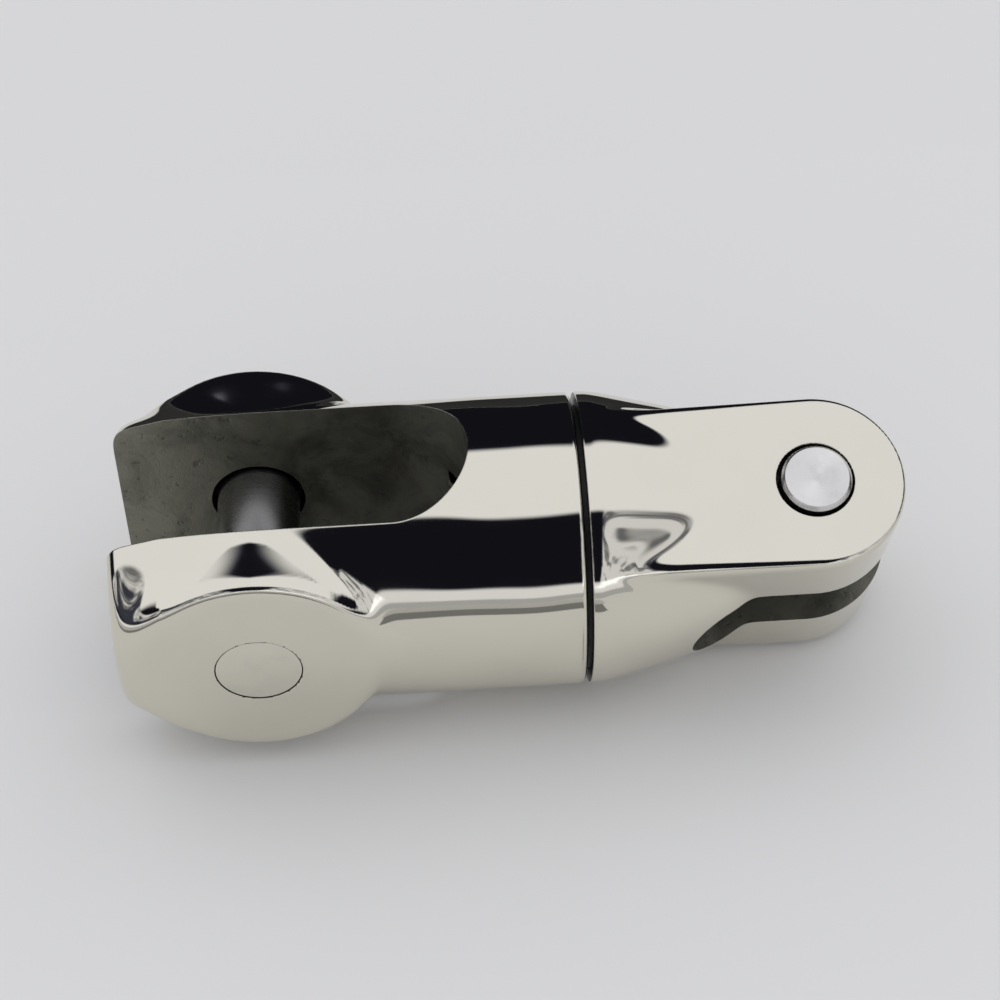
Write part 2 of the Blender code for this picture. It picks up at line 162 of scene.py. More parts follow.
class ChainForkSizes(PropertyGroup):
    width: length("Width", "Across a cheek, and its round end", 29.0 * MM)
    thickness: length("Thickness", "Over the two flat cheek faces", 38.0 * MM)
    slot_width: length("Jaw width", "Gap between the two cheeks", 12.4 * MM)
    wall: length("Wall", "From the joint line to the bottom of the jaw", 17.0 * MM)
    cone_start: length("Cone start", "Joint line to where the root narrows", 1.6 * MM)
    cone_end: length("Cone end", "Joint line to the end of the cone", 21.0 * MM)
    cone_radius: length("Cone radius", "Radius of the root at the end of the cone", 19.3 * MM)
    root_end: length("Root end", "Joint line to where the root is gone", 27.5 * MM)
    blend: length("Blend", "Reach of the hollow blend between root and cheeks", 1.9 * MM)
    edge_round: length("Edge round", "Rounding of the cheeks' edges", 2.4 * MM)
    hole_radius: length("Pin hole", "Radius of the plain hole for the pin", 6.2 * MM)
    thread_radius: length("Thread hole", "Radius of the threaded hole", 7.2 * MM)
    stud_hole: length("Stud hole", "Radius of the stud's threaded hole", 6.3 * MM)
    stud_depth: length("Stud depth", "Joint line to the bottom of that hole", 14.5 * MM)


class FastenerSizes(PropertyGroup):
    anchor_pin: length("Anchor pin", "Radius of the anchor pin's shank", 6.85 * MM)
    anchor_thread: length("Anchor thread", "Radius of the anchor pin's thread", 7.5 * MM)
    anchor_thread_length: length("Anchor thread length", "Length of that thread", 8.0 * MM)
    chain_pin: length("Chain pin", "Radius of the chain pin's shank", 5.65 * MM)
    chain_thread: length("Chain thread", "Radius of the chain pin's thread", 6.9 * MM)
    chain_thread_length: length("Chain thread length", "Length of that thread", 9.0 * MM)
    stud: length("Stud", "Radius of the stud's shank", 6.0 * MM)
    stud_head: length("Stud head", "Radius of the stud's head", 8.5 * MM)
    stud_head_length: length("Stud head length", "Thickness of the stud's head", 5.0 * MM)
    grub: length("Set screw", "Radius of the two set screws", 2.2 * MM)
    lean: length("Lean", "How far the loose chain pin sits off its hole's centre", 0.2 * MM)
    pitch: length("Pitch", "Pitch of the pins' threads", 1.5 * MM)


class FinishSettings(PropertyGroup):
    steel: colour("Steel", "Colour of the polished steel", (0.720, 0.694, 0.596))
    cast: colour("Blasted steel", "Colour of the rough steel in the jaws", (0.150, 0.148, 0.118))
    turned: colour("Turned steel", "Colour of the pins", (0.77, 0.76, 0.735))
    bronze: colour("Bronze", "Colour of the bearing pieces", (0.55, 0.36, 0.16))
    polish: share("Polish", "Roughness of the polished steel", 0.035)
    rim: length("Rim", "Rounding of the two rims at the joint line", 0.25 * MM)
    wave: share("Waviness", "How far hand polishing bends the reflections", 1.0)


class StageSettings(PropertyGroup):
    azimuth: angle("Azimuth", "Camera's angle round the swivel", -3.35)
    elevation: angle("Elevation", "Camera's height above the horizon", 47.08)
    roll: angle("Roll", "Camera's tilt to the side", -0.87)
    distance: length("Distance", "Camera's distance from the joint, along its view", 0.40296)
    across: FloatProperty(name="Across", description="Camera's place to the right of the joint",
                          default=-0.01119, unit="LENGTH", precision=5)
    above: FloatProperty(name="Above", description="Camera's place above the joint",
                         default=0.00721, unit="LENGTH", precision=5)
    lens: FloatProperty(name="Lens", description="Focal length", default=88.07,
                        subtype="DISTANCE_CAMERA")
    shift_x: FloatProperty(name="Shift X", description="Lens shift across", default=-0.0102)
    shift_y: FloatProperty(name="Shift Y", description="Lens shift up", default=-0.0068)
    floor: colour("Floor", "Colour of the table", (0.730, 0.730, 0.732))
    backdrop: colour("Backdrop", "Colour seen past the table", (0.668, 0.668, 0.670))
    ceiling: FloatProperty(name="Ceiling", description="Brightness of the overhead light",
                           default=0.93, min=0.0)
    fill: FloatProperty(name="Fill", description="Brightness of the soft fill light",
                        default=0.77, min=0.0)


# ---------------------------------------------------------------- shader maths

class Value:
    """A number socket that adds a Math node when it is used in an expression."""

    def __init__(self, shader, socket):
        self.shader, self.socket = shader, socket

    def math(self, operation, *others):
        values = [self, *others]
        node = self.shader.node("ShaderNodeMath", {"operation": operation}, *values)
        return Value(self.shader, node.outputs[0])

    def __add__(self, other):
        return self.math("ADD", other)

    def __sub__(self, other):
        return self.math("SUBTRACT", other)

    def __mul__(self, other):
        return self.math("MULTIPLY", other)

    def __truediv__(self, other):
        return self.math("DIVIDE", other)

    def __pow__(self, other):
        return self.math("POWER", other)

    def __rsub__(self, other):
        return (self * -1) + other

    def __neg__(self):
        return self * -1

    __radd__ = __add__
    __rmul__ = __mul__

    def step(self, low, high):
        """0 below low and 1 above high, with a smooth ramp between."""
        node = self.shader.node("ShaderNodeMapRange", {"interpolation_type": "SMOOTHSTEP"},
                                self, low, high, 0.0, 1.0)
        return Value(self.shader, node.outputs[0])


class Shader:
    """The node tree of a material or world, with one way to add a node."""

    def __init__(self, owner):
        owner.use_nodes = True
        self.tree = owner.node_tree
        self.tree.nodes.clear()

    def node(self, kind, settings=None, *values, **named):
        made = self.tree.nodes.new(kind)
        for key, setting in (settings or {}).items():
            setattr(made, key, setting)
        for key, value in [*enumerate(values), *named.items()]:
            socket = made.inputs[key.replace("_", " ") if isinstance(key, str) else key]
            if isinstance(value, Value):
                value = value.socket
            if isinstance(value, bpy.types.NodeSocket):
                self.tree.links.new(value, socket)
            elif value is not None:
                socket.default_value = value
        return made

    def value(self, socket):
        return Value(self, socket)

    def split(self, vector):
        made = self.node("ShaderNodeSeparateXYZ", None, vector)
        return [self.value(output) for output in made.outputs]

    def noise(self, vector, scale, detail=2.0, roughness=0.5, distortion=0.0):
        made = self.node("ShaderNodeTexNoise", None, Vector=vector, Scale=scale, Detail=detail,
                         Roughness=roughness, Distortion=distortion)
        return self.value(made.outputs[0])

    def mix(self, factor, first, second):
        """Blend two colours; a Mix node's colours are its seventh and eighth sockets."""
        sockets = (factor, *[None] * 5, first, second)
        return self.node("ShaderNodeMix", {"data_type": "RGBA"}, *sockets).outputs[2]

    def bump(self, height, strength, distance):
        return self.node("ShaderNodeBump", None, Strength=strength, Distance=distance,
                         Height=height).outputs[0]


def material(name):
    return bpy.data.materials.get(name) or bpy.data.materials.new(name)


def rgba(values):
    return (*values, 1.0)


def surfaced(name, shader, normal=None, **sockets):
    """Close a material with a Principled shader that has the given sockets."""
    surface = shader.node("ShaderNodeBsdfPrincipled", None, Normal=normal, **sockets)
    shader.node("ShaderNodeOutputMaterial", None, surface.outputs[0])
    return material(name)


def metal(name, shader, base, roughness, normal):
    return surfaced(name, shader, normal, Metallic=1.0, Base_Color=base, Roughness=roughness)


def shades(colour, amount):
    """The colour made darker or lighter, as a socket takes it."""
    return rgba([min(part * amount, 1.0) for part in colour])


def object_coordinates(shader):
    return shader.node("ShaderNodeTexCoord").outputs["Object"]


def polished_steel():
    """Mirror steel: slight waves from hand polishing, faint haze and buffing lines."""
    finish = bpy.context.scene.swivel_finish
    shader = Shader(material("polished_steel"))
    place = object_coordinates(shader)
    haze = shader.noise(place, 90.0, 3.0).step(0.35, 0.75)
    stretched = shader.node("ShaderNodeMapping", None, place, Scale=(60.0, 900.0, 900.0))
    lines = shader.noise(stretched.outputs[0], 1.0, 3.0, 0.7).step(0.45, 0.8)
    roughness = haze * 0.02 + lines * 0.025 + finish.polish
    waves = shader.noise(place, 34.0, 1.0, 0.4)
    soft = shader.bump(waves, finish.wave, 0.0020)
    rounded = shader.node("ShaderNodeBevel", {"samples": 6}, 0.0003)
    shader.tree.links.new(soft, rounded.inputs["Normal"])
    tint = shader.mix(haze * 0.5, rgba(finish.steel), shades(finish.steel, 0.965))
    return metal("polished_steel", shader, tint, roughness, rounded.outputs[0])


def blasted_steel():
    """Rough steel in the jaws: blasted grain, darker clouds, and painted light that makes it
    lighter near the tips.
    """
    finish = bpy.context.scene.swivel_finish
    shader = Shader(material("blasted_steel"))
    place = object_coordinates(shader)
    x, _, _ = shader.split(place)
    clouds = shader.noise(place, 95.0, 5.0, 0.62, 0.6).step(0.32, 0.70)
    grain = shader.noise(place, 1900.0, 3.0, 0.7)
    streaked = shader.node("ShaderNodeMapping", None, place, Scale=(30.0, 600.0, 600.0))
    streaks = shader.noise(streaked.outputs[0], 1.0, 3.0, 0.6)
    pits = shader.noise(place, 520.0, 2.0, 0.6).step(0.60, 0.75)
    # Painted light: the colour is lighter towards the jaws' tips, standing in for the light that
    # falls there.
    wear_and_painted_tip_light = (1 - x.step(-0.063, -0.030)) * 0.75 + x.step(0.050, 0.066) * 0.4
    dark = shades(finish.cast, 0.36)
    light = shades(finish.cast, 2.1)
    tint = shader.mix(clouds, rgba(finish.cast), dark)
    tint = shader.mix(wear_and_painted_tip_light * (1 - clouds * 0.5), tint, light)
    tint = shader.mix(pits * 0.5, tint, dark)
    height = grain * 0.5 + clouds * 0.5 + streaks * 0.4 - pits * 0.6
    normal = shader.bump(height, 0.6, 0.00022)
    return surfaced("blasted_steel", shader, normal, Metallic=0.55, Base_Color=tint,
                    Roughness=clouds * 0.12 + grain * 0.16 + 0.34)


def bored_steel():
    """Drilled and reamed holes: fine darker rings."""
    finish = bpy.context.scene.swivel_finish
    shader = Shader(material("bored_steel"))
    place = object_coordinates(shader)
    rings = shader.noise(place, 1500.0, 2.0)
    tint = shades(finish.turned, 0.20)
    normal = shader.bump(rings, 0.3, 0.00005)
    return metal("bored_steel", shader, tint, rings * 0.2 + 0.22, normal)


def turned_steel(name, centre, axis, side, shank=0.0, end=None):
    """Lathe-turned steel: fine rings round an axis on the end, feed lines on the side.

    A shank of the given length is rougher and darker with painted shade, and the end can have a
    colour of its own; without one, light and dark sectors round the axis are a painted highlight.
    """
    finish = bpy.context.scene.swivel_finish
    shader = Shader(material(name))
    place = object_coordinates(shader)
    offset = shader.node("ShaderNodeVectorMath", {"operation": "SUBTRACT"}, place,
                         tuple(centre)).outputs[0]
    across = axis.cross(side)

    def along(direction):
        made = shader.node("ShaderNodeVectorMath", {"operation": "DOT_PRODUCT"}, offset,
                           tuple(direction))
        return shader.value(made.outputs["Value"])

    first, second, depth = along(side), along(across), along(axis)
    radius = (first * first + second * second) ** 0.5
    spread = shader.noise(place, 160.0, 2.0)
    fine = shader.noise(shader.node("ShaderNodeCombineXYZ", None, radius * 9000.0, depth * 7000.0,
                                    spread).outputs[0], 1.0, 2.0)
    normal = shader.bump(fine, 0.25, 0.00002)
    # Painted highlight: light and dark sectors round the axis stand for the cross-shaped highlights
    # of a turned face.
    sectors = (first.math("ARCTAN2", second) * 2.0 + 0.6).math("SINE")
    painted_highlight = (sectors * 0.5 + 0.5) ** 2.0 * radius.step(0.0002, 0.0012)
    wear_and_painted_tip_light = shader.noise(place, 220.0, 4.0, 0.65).step(0.4, 0.8)
    base = end or finish.turned
    tint = shader.mix(wear_and_painted_tip_light * 0.25 + (1 - painted_highlight) * (0.0 if end else 0.30), rgba(base),
                      shades(finish.turned, 0.62))
    # Painted shade: the shank inside the holes and the jaw is darker in colour; it is also rougher.
    inside = depth.math("ABSOLUTE")
    dull_and_painted_shade = inside.step(0.0010, 0.0018) * (1 - inside.step(shank, shank + 0.001))
    tint = shader.mix(dull_and_painted_shade, tint, shades(finish.turned, 0.30))
    rough = wear_and_painted_tip_light * 0.06 + fine * 0.10 + dull_and_painted_shade * 0.12 + (0.10 if end else 0.19)
    return metal(name, shader, tint, rough, normal)


def bearing_bronze():
    """Satin bronze of the bush and the head's washer."""
    finish = bpy.context.scene.swivel_finish
    shader = Shader(material("bearing_bronze"))
    place = object_coordinates(shader)
    cloud = shader.noise(place, 300.0, 4.0, 0.6)
    tint = shader.mix(cloud, rgba(finish.bronze), shades(finish.bronze, 0.7))
    normal = shader.bump(cloud, 0.2, 0.0001)
    return metal("bearing_bronze", shader, tint, cloud * 0.2 + 0.3, normal)


def black_acetal():
    """Machined black plastic of the thrust washer."""
    shader = Shader(material("black_acetal"))
    place = object_coordinates(shader)
    cloud = shader.noise(place, 900.0, 3.0)
    tint = shader.mix(cloud, (0.008, 0.008, 0.009, 1.0), (0.02, 0.02, 0.021, 1.0))
    normal = shader.bump(cloud, 0.2, 0.00005)
    return surfaced("black_acetal", shader, normal, Base_Color=tint,
                    Roughness=cloud * 0.2 + 0.4)


# ---------------------------------------------------------------- shapes

def deselect():
    if bpy.context.object and bpy.context.object.mode != "OBJECT":
        bpy.ops.object.mode_set(mode="OBJECT")
    bpy.ops.object.select_all(action="DESELECT")


def pick(obj):
    deselect()
    obj.select_set(True)
    bpy.context.view_layer.objects.active = obj
    return obj


def edit(obj, *steps):
    """Run steps in edit mode with everything selected."""
    pick(obj)
    bpy.ops.object.mode_set(mode="EDIT")
    bpy.ops.mesh.select_all(action="SELECT")
    for step in steps:
        step()
    bpy.ops.object.mode_set(mode="OBJECT")
    return obj


def weld():
    bpy.ops.mesh.remove_doubles(threshold=0.000002)


def face_outwards():
    bpy.ops.mesh.normals_make_consistent(inside=False)


def smooth(obj, degrees=28.0):
    pick(obj)
    bpy.ops.object.shade_smooth_by_angle(angle=math.radians(degrees))
    return obj


def turn_to(direction):
    return direction.to_track_quat("Z", "Y").to_euler()


def settle(obj):
    """Put the object at the origin, with its place in its mesh."""
    pick(obj)
    bpy.ops.object.transform_apply(location=True, rotation=True, scale=True)
    return obj


def rod(radius, start, end, vertices=ROUND_STEPS, end_radius=None):
    """Round cutter between two points, with an end radius if it is conical."""
    deselect()
    spot, turn = (start + end) / 2, turn_to(end - start)
    depth = (end - start).length
    if end_radius is None:
        bpy.ops.mesh.primitive_cylinder_add(vertices=vertices, radius=radius, depth=depth,
                                            location=spot, rotation=turn)
    else:
        bpy.ops.mesh.primitive_cone_add(vertices=vertices, radius1=radius, radius2=end_radius,
                                        depth=depth, location=spot, rotation=turn)
    return settle(bpy.context.object)


def block(low, high, turn=None, pivot=None):
    """Box cutter between two corners, turned about a pivot if one is given."""
    deselect()
    bpy.ops.mesh.primitive_cube_add(size=1.0, location=(low + high) / 2)
    obj = bpy.context.object
    obj.scale = high - low
    settle(obj)
    if turn is not None:
        obj.data.transform(Matrix.Translation(pivot) @ turn @ Matrix.Translation(-pivot))
    return obj


def volume(mesh):
    """Volume inside a closed mesh, in double precision so that a small cut shows."""
    mesh.calc_loop_triangles()
    corners = np.zeros(len(mesh.loop_triangles) * 3, dtype=np.int32)
    mesh.loop_triangles.foreach_get("vertices", corners)
    spots = np.zeros(len(mesh.vertices) * 3)
    mesh.vertices.foreach_get("co", spots)
    first, second, third = spots.reshape(-1, 3)[corners].reshape(-1, 3, 3).swapaxes(0, 1)
    return (first * np.cross(second, third)).sum() / 6


def cut(obj, cutter):
    """Cut one solid from another; a cut that takes nothing away is an error."""
    whole = volume(obj.data)
    pick(obj)
    boolean = obj.modifiers.new("cut", "BOOLEAN")
    boolean.operation = "DIFFERENCE"
    boolean.solver = "MANIFOLD"
    boolean.object = cutter
    bpy.ops.object.modifier_apply(modifier=boolean.name)
    bpy.data.objects.remove(cutter, do_unlink=True)
    if not 0.0 < volume(obj.data) < whole:
        raise RuntimeError(f"a cut took nothing away from {obj.name}")
    return obj


def hole(obj, radius, start, end, chamfer=0.0):
    """Drill from start to end; a chamfer breaks the edge at the start."""
    cut(obj, rod(radius, start, end))
    if chamfer:
        inward = (end - start).normalized()
        mouth = start + inward * HOLE_OVERRUN
        wide = radius + chamfer
        cut(obj, rod(wide + HOLE_OVERRUN, start, mouth + inward * chamfer, ROUND_STEPS,
                     radius))
    return obj


def hexagon(obj, flats, mouth, inward, depth):
    """Key socket with its mouth at a point."""
    cutter = rod(flats / math.sqrt(3), mouth - inward * HOLE_OVERRUN, mouth + inward * depth, 6)
    cut(obj, cutter)
    tip = rod(flats / 2 * 0.98, mouth + inward * depth * 0.98,
              mouth + inward * (depth + flats * 0.22), 48, 0.0001)
    return cut(obj, tip)


def turned(name, profile, base, direction, steps=ROUND_STEPS):
    """Spin a (radius, height) outline about a direction through a base point."""
    mesh = bpy.data.meshes.new(name)
    corners = [(radius, 0.0, height) for radius, height in profile]
    edges = [(k, k + 1) for k in range(len(corners) - 1)]
    mesh.from_pydata(corners, edges, [])
    obj = bpy.data.objects.new(name, mesh)
    bpy.context.scene.collection.objects.link(obj)
    edit(obj, lambda: bpy.ops.mesh.spin(steps=steps, angle=math.tau, center=(0, 0, 0),
                                        axis=(0, 0, 1)),
         lambda: bpy.ops.mesh.select_all(action="SELECT"), weld, face_outwards)
    obj.data.transform(Matrix.Translation(base) @ direction.to_track_quat("Z", "Y").to_matrix()
                       .to_4x4())
    return obj


def wrapped(name, points):
    """A grid primitive wrapped onto rows of points, closed round and at both ends."""
    rows, columns = points.shape[:2]
    deselect()
    bpy.ops.mesh.primitive_grid_add(x_subdivisions=rows - 1, y_subdivisions=columns, size=1.0)
    obj = bpy.context.object
    obj.name = obj.data.name = name
    flat = np.zeros(len(obj.data.vertices) * 3)
    obj.data.vertices.foreach_get("co", flat)
    flat = flat.reshape(-1, 3) + 0.5
    row = np.rint(flat[:, 0] * (rows - 1)).astype(int)
    column = np.rint(flat[:, 1] * columns).astype(int) % columns
    obj.data.vertices.foreach_set("co", points[row, column].ravel())
    obj.data.update()
    return edit(obj, weld, face_outwards)


def soft_min(first, second, reach):
    """Smaller of two distances, with a hollow blend of the given reach."""
    near = np.maximum(reach - np.abs(first - second), 0.0) / np.maximum(reach, 1e-9)
    return np.minimum(first, second) - near ** 3 * reach / 6


def soft_max(first, second, reach):
    """Larger of two distances, with a rounded edge of the given reach."""
    return -soft_min(-first, -second, reach)


def reach_surface(field, origins, directions, far):
    """Points where rays from inside meet a surface, by halving the distance."""
    low = np.zeros(origins.shape[:-1])
    high = np.full(origins.shape[:-1], far)
    for _ in range(34):
        half = (low + high) / 2
        inside = field(origins + directions * half[..., None]) < 0
        low = np.where(inside, half, low)
        high = np.where(inside, high, half)
    return origins + directions * ((low + high) / 2)[..., None]


def crowd(count, corners, width, weight):
    """Angles round the axis, closer together near the given corners."""
    fine = np.linspace(0, math.tau, 7200, endpoint=False)
    density = np.ones_like(fine)
    for spot in corners:
        away = (fine - spot + math.pi) % math.tau - math.pi
        density += weight * np.exp(-(away / width) ** 2)
    total = np.concatenate([[0.0], np.cumsum(density)])
    total /= total[-1]
    edges = np.append(fine, math.tau)
    return np.interp(np.arange(count) / count, total, edges)


def body_of_rays(field, stations, turn, columns_at, rim, face_x, towards):
    """Rows of surface points: the joint face, its rim, and rays from each station.

    A station is a place on the axis and a lean from square-on towards the tip.
    """
    across, up = np.cos(columns_at), np.sin(columns_at)
    ring = np.stack([np.zeros_like(across), across, up], axis=-1)
    rows = []
    for part in (0.0, 0.35, 0.7, 0.9):
        radius = (BARREL_RADIUS - rim) * part
        rows.append(ring * radius + np.array([face_x, 0, 0]))
    for step in range(RIM_STEPS):
        bend = math.pi / 2 * step / RIM_STEPS
        radius = BARREL_RADIUS - rim + rim * math.sin(bend)
        rows.append(ring * radius + np.array([face_x + towards * rim * (1 - math.cos(bend)), 0, 0]))
    places = np.array([spot for spot, _ in stations])
    leans = np.array([lean for _, lean in stations])
    origins = np.zeros((len(stations), len(columns_at), 3))
    origins[..., 0] = places[:, None]
    directions = np.cos(leans)[:, None, None] * ring[None]
    directions[..., 0] += towards * np.sin(leans)[:, None]
    solved = reach_surface(field, origins, directions, BARREL_RADIUS * 1.8)
    points = np.concatenate([np.array(rows), solved])
    return points @ turn.T + np.array(JOINT)


def skin_normals(obj, field, turn):
    """Shade the outer skin from the exact shape that its points were solved on."""
    mesh = obj.data
    spots = np.zeros(len(mesh.vertices) * 3)
    mesh.vertices.foreach_get("co", spots)
    local = (spots.reshape(-1, 3) - np.array(JOINT)) @ turn
    off = np.abs(field(local)) > 0.06 * MM
    small = 0.004 * MM
    slope = np.stack([field(local + step) - field(local - step)
                      for step in np.eye(3) * small], axis=-1)
    slope = (slope / np.linalg.norm(slope, axis=-1, keepdims=True)) @ turn.T
    corner = np.zeros(len(mesh.loops), dtype=np.int32)
    mesh.loops.foreach_get("vertex_index", corner)
    count = np.zeros(len(mesh.polygons), dtype=np.int32)
    mesh.polygons.foreach_get("loop_total", count)
    facing = np.zeros(len(mesh.polygons) * 3)
    mesh.polygons.foreach_get("normal", facing)
    face = np.repeat(np.arange(len(count)), count)
    agree = (slope[corner] * facing.reshape(-1, 3)[face]).sum(axis=-1)
    lost = np.bincount(face, off[corner] | (agree < 0.75), len(count)) > 0
    normals = np.where(lost[face][:, None], 0.0, slope[corner])
    mesh.normals_split_custom_set(normals.tolist())
    return obj


def paint(obj, slots, chooser):
    """Give the object its materials, one index a face from the face's middle."""
    obj.data.materials.clear()
    for slot in slots:
        obj.data.materials.append(slot)
    middles = np.zeros(len(obj.data.polygons) * 3)
    obj.data.polygons.foreach_get("center", middles)
    index = chooser(middles.reshape(-1, 3) - np.array(JOINT))
    obj.data.polygons.foreach_set("material_index", index.astype(np.int32))
    obj.data.update()
    return obj


def cover(obj, finish):
    """Give the whole object one material."""
    obj.data.materials.clear()
    obj.data.materials.append(finish)
    return obj


def hand_over(obj, body, slot, *nodes):
    """Ride on a body and stand for the plain nodes; the slot is not used."""
    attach(obj, body)
    if nodes:
        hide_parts(*nodes)
    return obj


def in_slot(points, bottom, width, towards):
    """Which points lie in a jaw with a round bottom: along X, across it, with slack."""
    half = width / 2 + ON_CUT
    centre = towards * (bottom + width / 2)
    along = (points[:, 0] - centre) * towards
    straight = (along > 0) & (np.abs(points[:, 1]) < half)
    rounded = (along <= 0) & (np.hypot(along, points[:, 1]) < half)
    return straight | rounded


def in_hole(points, x, radius):
    """Which points lie in a round hole across the axis at x."""
    return np.hypot(points[:, 0] - x, points[:, 2]) < radius + PAST_JAW_WALL


# ---------------------------------------------------------------- operators

class SWIVEL_OT_anchor_fork(Operator):
    """Model the anchor fork: barrel, boss and two ears round the jaw"""
    bl_idname = "swivel.anchor_fork"
    bl_label = "Anchor fork"

    def field(self, points):
        s = self.sizes
        x, y, z = points[..., 0], points[..., 1], points[..., 2]
        run = np.maximum((-x - s.droop_start) / (ANCHOR_TIP - s.droop_start), 0)
        upright = z ** 2 / np.maximum(y ** 2 + z ** 2, 1e-12)
        barrel = np.hypot(y, z) - BARREL_RADIUS + s.tip_droop * run ** 2 * upright
        boss = np.hypot(x + ANCHOR_REACH, z) - s.eye_radius
        aside = np.clip(np.abs(x + ANCHOR_REACH) / (14 * MM), 0.2, 1.0)
        outer = 1 + 1.3 * np.clip((-x - ANCHOR_REACH) / (14 * MM), 0.0, 1.0)
        body = soft_min(barrel, boss, s.blend * aside * outer)
        body = soft_max(body, -x - ANCHOR_TIP, s.tip_round)
        return soft_max(body, np.abs(y) - s.face_width / 2, s.face_round)

    def execute(self, context):
        s = self.sizes = context.scene.swivel_anchor
        rim = context.scene.swivel_finish.rim * ANCHOR_RIM_TIMES
        stations = [(spot, 0.0) for spot in np.linspace(-RIM_X - rim, -ANCHOR_REACH, 92)]
        stations += [(-ANCHOR_REACH, lean) for lean in np.linspace(0, math.pi / 2, 76)[1:]]
        around = crowd(384, (), 1.0, 0.0)
        points = body_of_rays(self.field, stations, np.eye(3), around, rim, -RIM_X, -1)
        fork = wrapped("anchor_fork_body", points)

        half, deep = s.slot_width / 2, BARREL_RADIUS + HOLE_OVERRUN
        centre = JOINT - ALONG_X * (s.wall + half)
        cut(fork, rod(half, centre - ALONG_Z * deep, centre + ALONG_Z * deep, 192))
        far = centre - ALONG_X * ANCHOR_TIP
        cut(fork, block(far - Vector((0, half, deep)), centre + Vector((0, half, deep))))

        pin = JOINT - ALONG_X * ANCHOR_REACH
        out = s.face_width / 2 + HOLE_OVERRUN
        hole(fork, s.hole_radius, pin - ALONG_Y * out, pin)
        hole(fork, s.thread_radius, pin + ALONG_Y * out, pin, 0.5 * MM)
        ear = (s.slot_width + s.face_width) / 4
        hole(fork, context.scene.swivel_fasteners.grub + GRUB_PLAY,
             pin + ALONG_Y * ear - ALONG_Z * (s.eye_radius + HOLE_OVERRUN), pin + ALONG_Y * ear)
        front = JOINT + ALONG_X * HOLE_OVERRUN
        hole(fork, s.stud_bore, front, JOINT - ALONG_X * (s.wall + HOLE_OVERRUN))
        hole(fork, s.head_recess, JOINT - ALONG_X * (s.wall + HOLE_OVERRUN),
             JOINT - ALONG_X * s.head_seat, 0.5 * MM)
        hole(fork, s.thrust_radius, front, JOINT - ALONG_X * s.thrust_depth)
        smooth(fork)
        skin_normals(fork, self.field, np.eye(3))

        def chooser(points):
            index = np.zeros(len(points))
            index[in_slot(points, s.wall, s.slot_width, -1)] = 1
            index[in_hole(points, -ANCHOR_REACH, s.thread_radius)
                  & (points[:, 1] > s.slot_width / 2 + PAST_JAW_WALL)] = 2
            index[in_hole(points, -ANCHOR_REACH, s.hole_radius)
                  & (points[:, 1] < -PAST_JAW_WALL - s.slot_width / 2)] = 2
            inner = np.hypot(points[:, 1], points[:, 2])
            index[(points[:, 0] > -s.wall) & (inner < s.thrust_radius + ON_CUT)] = 2
            index[points[:, 0] > -JOINT_FACE_DEPTH] = 2
            return index

        paint(fork, [polished_steel(), blasted_steel(), bored_steel()], chooser)
        hand_over(fork, "anchor_side", "polished_steel", "anchor_fork")
        return {"FINISHED"}


